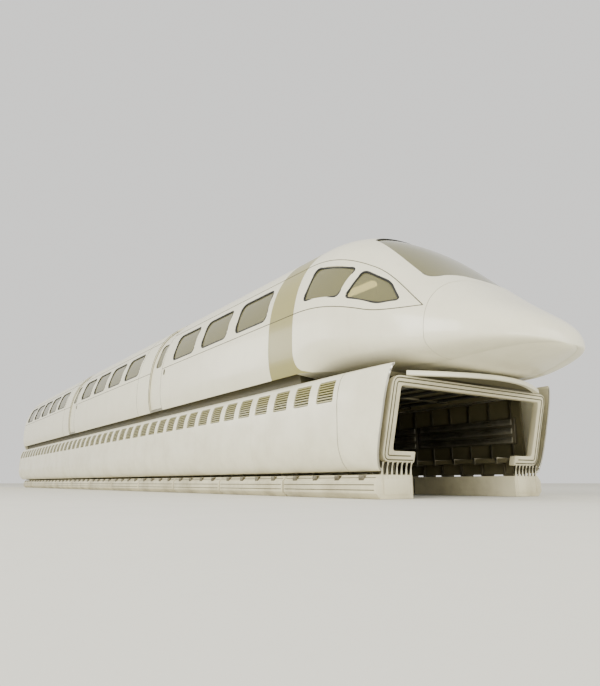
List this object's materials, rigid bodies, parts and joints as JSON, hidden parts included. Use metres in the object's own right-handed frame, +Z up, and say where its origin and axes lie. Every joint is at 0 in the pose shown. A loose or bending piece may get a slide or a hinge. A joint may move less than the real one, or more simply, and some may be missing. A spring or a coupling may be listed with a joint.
{
  "type": "magnetic-levitation train lead car",
  "caption": "Streamlined lead car of a magnetic train that wraps round a beam guideway, with a drooped nose, side doors and a rear gangway.",
  "frame": {"origin": "on the floor under the middle of the car, where the undersides of the support magnets rest", "axes": "+X forwards to the nose, +Y to the car's left, +Z up"},
  "size_m": [25.6, 3.7, 4.2],
  "materials": {
    "body_paint": "satin cream paint",
    "stripe_paint": "satin khaki paint",
    "window_glass": "tinted safety glass",
    "underframe_paint": "dark matt paint",
    "magnet_casing": "satin light paint",
    "bare_metal": "brushed",
    "cabin_lining": "matt",
    "desk_plastic": "matt grained",
    "seat_fabric": "woven",
    "bellows_rubber": "matt"
  },
  "bodies": {
    "car": {"cab_bulkhead": "cabin_lining", "cab_shell": "body_paint", "cab_windows_left": "window_glass", "cab_windows_right": "window_glass", "cabin_floor": "cabin_lining", "channel_mouth": "bare_metal", "door_pocket_front_left": "body_paint", "door_pocket_front_right": "body_paint", "door_pocket_rear_left": "body_paint", "door_pocket_rear_right": "body_paint", "driver_desk": "desk_plastic", "driver_seat": "seat_fabric", "front_deflector": "body_paint", "gangway_bellows": "bellows_rubber", "guide_magnets_left": "bare_metal", "guide_magnets_right": "bare_metal", "levitation_frame_left": "underframe_paint", "levitation_frame_right": "underframe_paint", "nose_cowl": "body_paint", "nose_pan": "body_paint", "passenger_seats_left": "seat_fabric", "passenger_seats_right": "seat_fabric", "rear_end_wall": "body_paint", "roof": "body_paint", "side_wall_front_left": "body_paint", "side_wall_front_right": "body_paint", "side_wall_middle_left": "body_paint", "side_wall_middle_right": "body_paint", "side_wall_rear_left": "body_paint", "side_wall_rear_right": "body_paint", "skirt_end_cap_left": "body_paint", "skirt_end_cap_right": "body_paint", "skirt_left": "body_paint", "skirt_right": "body_paint", "stripe_band": "stripe_paint", "support_magnets_left": "magnet_casing", "support_magnets_right": "magnet_casing", "underframe": "underframe_paint", "window_glass_front_left": "window_glass", "window_glass_front_right": "window_glass", "window_glass_middle_left": "window_glass", "window_glass_middle_right": "window_glass", "window_glass_rear_left": "window_glass", "window_glass_rear_right": "window_glass", "windshield": "window_glass"},
    "front_door_right": {"door_front_right": "body_paint", "door_glass_front_right": "window_glass"},
    "front_door_left": {"door_front_left": "body_paint", "door_glass_front_left": "window_glass"},
    "rear_door_right": {"door_rear_right": "body_paint", "door_glass_rear_right": "window_glass"},
    "rear_door_left": {"door_rear_left": "body_paint", "door_glass_rear_left": "window_glass"},
    "end_door": {"gangway_door": "body_paint", "gangway_door_glass": "window_glass"}
  },
  "joints": [
    {"name": "front_door_right_slide", "type": "slide", "parent": "car", "child": "front_door_right", "axis": [-1, 0, 0], "range_m": [0, 0.74]},
    {"name": "front_door_left_slide", "type": "slide", "parent": "car", "child": "front_door_left", "axis": [-1, 0, 0], "range_m": [0, 0.74]},
    {"name": "rear_door_right_slide", "type": "slide", "parent": "car", "child": "rear_door_right", "axis": [-1, 0, 0], "range_m": [0, 0.74]},
    {"name": "rear_door_left_slide", "type": "slide", "parent": "car", "child": "rear_door_left", "axis": [-1, 0, 0], "range_m": [0, 0.74]},
    {"name": "end_door_hinge", "type": "hinge", "parent": "car", "child": "end_door", "pos_m": [-12.654, 0.48, 2.9], "axis": [0, 0, 1], "range_deg": [0, 90]}
  ]
}
